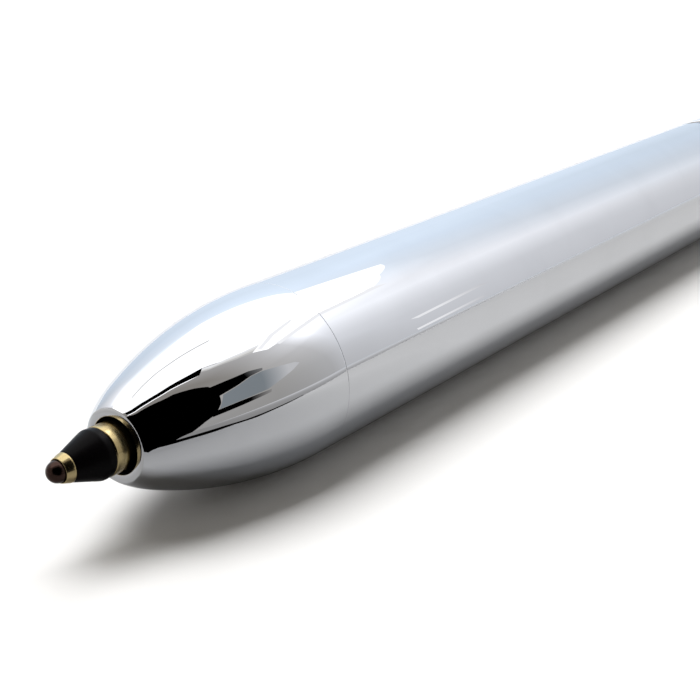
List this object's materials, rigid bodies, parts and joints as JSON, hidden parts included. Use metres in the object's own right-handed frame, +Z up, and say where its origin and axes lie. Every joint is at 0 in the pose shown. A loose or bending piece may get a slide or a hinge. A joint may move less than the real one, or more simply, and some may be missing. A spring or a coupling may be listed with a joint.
{
  "type": "multifunction pen",
  "caption": "Slim twist-action metal pen with a bullet nose; a ballpoint refill and a lead pencil share the nose hole, with a sprung clip and an eraser under the crown.",
  "frame": {"origin": "on the floor under the middle of the lower barrel, on the barrel flat that the pen rests on", "axes": "+X along the pen towards the crown, +Y to the clip's side, +Z up from the surface that the pen lies on"},
  "size_m": [0.1401, 0.012, 0.0092],
  "materials": {
    "polished_chrome": "polished chrome plate",
    "brass": "bright drawn brass",
    "spring_steel": "drawn spring wire",
    "black_plastic": "moulded, glossy",
    "grey_plastic": "moulded, matt",
    "white_plastic": "moulded, matt",
    "ink": "wet ink",
    "grease": "translucent grease plug",
    "graphite": "polymer graphite lead",
    "carbide": "ground carbide ball",
    "black_rubber": "moulded rubber",
    "eraser_rubber": "matt eraser rubber"
  },
  "bodies": {
    "lower_body": {"lower_barrel": "polished_chrome", "front_bush": "brass", "spring_seat_ring": "brass", "guide_key": "brass", "feed_spring": "spring_steel"},
    "nose": {"nose_cone": "polished_chrome"},
    "cartridge": {"mechanism_tube": "brass", "guide_block": "white_plastic", "retaining_ring": "brass", "thrust_washer": "white_plastic", "ball_return_spring": "spring_steel", "pencil_return_spring": "spring_steel"},
    "upper_body": {"upper_barrel": "polished_chrome", "centre_ring": "polished_chrome", "cam_drum": "white_plastic", "end_plug": "brass", "clip_collar": "polished_chrome", "clip_pin": "spring_steel", "clip_spring": "spring_steel", "eraser_ferrule": "brass", "eraser": "eraser_rubber", "crown_o_ring": "black_rubber"},
    "clip": {"clip": "polished_chrome"},
    "crown": {"crown": "polished_chrome"},
    "ball_carriage": {"ball_carriage": "grey_plastic", "ball_follower": "brass"},
    "ball_refill": {"ball_refill_tube": "brass", "ink_column": "ink", "ink_follower": "grease", "refill_tip_cone": "black_plastic", "ball_socket": "brass"},
    "writing_ball": {"writing_ball": "carbide"},
    "pencil_carriage": {"pencil_carriage": "grey_plastic", "pencil_follower": "brass"},
    "pencil_unit": {"pencil_lead_tube": "brass", "lead_chuck": "brass", "lead": "graphite", "spare_lead": "graphite", "pencil_spring": "spring_steel"},
    "pencil_sleeve": {"pencil_sleeve": "brass", "pencil_tip": "polished_chrome", "clutch_ring": "brass", "lead_retainer": "black_rubber"}
  },
  "joints": [
    {"name": "nose_unscrew", "type": "slide", "parent": "lower_body", "child": "nose", "axis": [-1, 0, 0], "range_m": [0, 0.012]},
    {"name": "feed_press", "type": "slide", "parent": "lower_body", "child": "cartridge", "axis": [-1, 0, 0], "range_m": [0, 0.0012], "stiffness_N_per_m": 1500, "springref_m": -0.002, "deforming": ["feed_spring"]},
    {"name": "barrel_twist", "type": "hinge", "parent": "cartridge", "child": "upper_body", "pos_m": [0.05, 0, 0.00458], "axis": [1, 0, 0], "range_deg": [0, 180]},
    {"name": "ball_slide", "type": "slide", "parent": "cartridge", "child": "ball_carriage", "axis": [1, 0, 0], "range_m": [0, 0.012], "deforming": ["ball_return_spring"]},
    {"name": "ball_tilt", "type": "hinge", "parent": "ball_carriage", "child": "ball_refill", "pos_m": [0.02435, -0.00232, 0.00564], "axis": [0, 0.4182, 0.9084], "range_deg": [0, 2.45]},
    {"name": "ball_roll", "type": "hinge", "parent": "ball_refill", "child": "writing_ball", "pos_m": [-0.04169, 0.00025, 0.00446], "axis": [0, 0.4182, 0.9084], "continuous": true},
    {"name": "pencil_slide", "type": "slide", "parent": "cartridge", "child": "pencil_carriage", "axis": [-1, 0, 0], "range_m": [0, 0.012], "deforming": ["pencil_return_spring"]},
    {"name": "pencil_tilt", "type": "hinge", "parent": "pencil_carriage", "child": "pencil_unit", "pos_m": [0.03635, 0.00232, 0.00351], "axis": [0, 0.4182, 0.9084], "range_deg": [0, 2.45]},
    {"name": "lead_feed", "type": "slide", "parent": "pencil_unit", "child": "pencil_sleeve", "axis": [1, 0, 0], "range_m": [0, 0.0008], "stiffness_N_per_m": 400, "springref_m": -0.001, "deforming": ["pencil_spring"]},
    {"name": "clip_lift", "type": "hinge", "parent": "upper_body", "child": "clip", "pos_m": [0.08525, 0.005, 0.00228], "axis": [0, -0.4182, -0.9084], "range_deg": [0, 6], "stiffness_Nm_per_rad": 0.1, "springref_deg": -5.73},
    {"name": "crown_pull", "type": "slide", "parent": "upper_body", "child": "crown", "axis": [1, 0, 0], "range_m": [0, 0.012]}
  ],
  "couplings": [
    {"joint": "ball_slide", "follows": "barrel_twist", "m_per_rad": 0.0038197},
    {"joint": "pencil_slide", "follows": "barrel_twist", "m_per_rad": 0.0038197},
    {"joint": "ball_tilt", "follows": "barrel_twist", "ratio": 0.013633},
    {"joint": "pencil_tilt", "follows": "barrel_twist", "ratio": 0.013633}
  ]
}
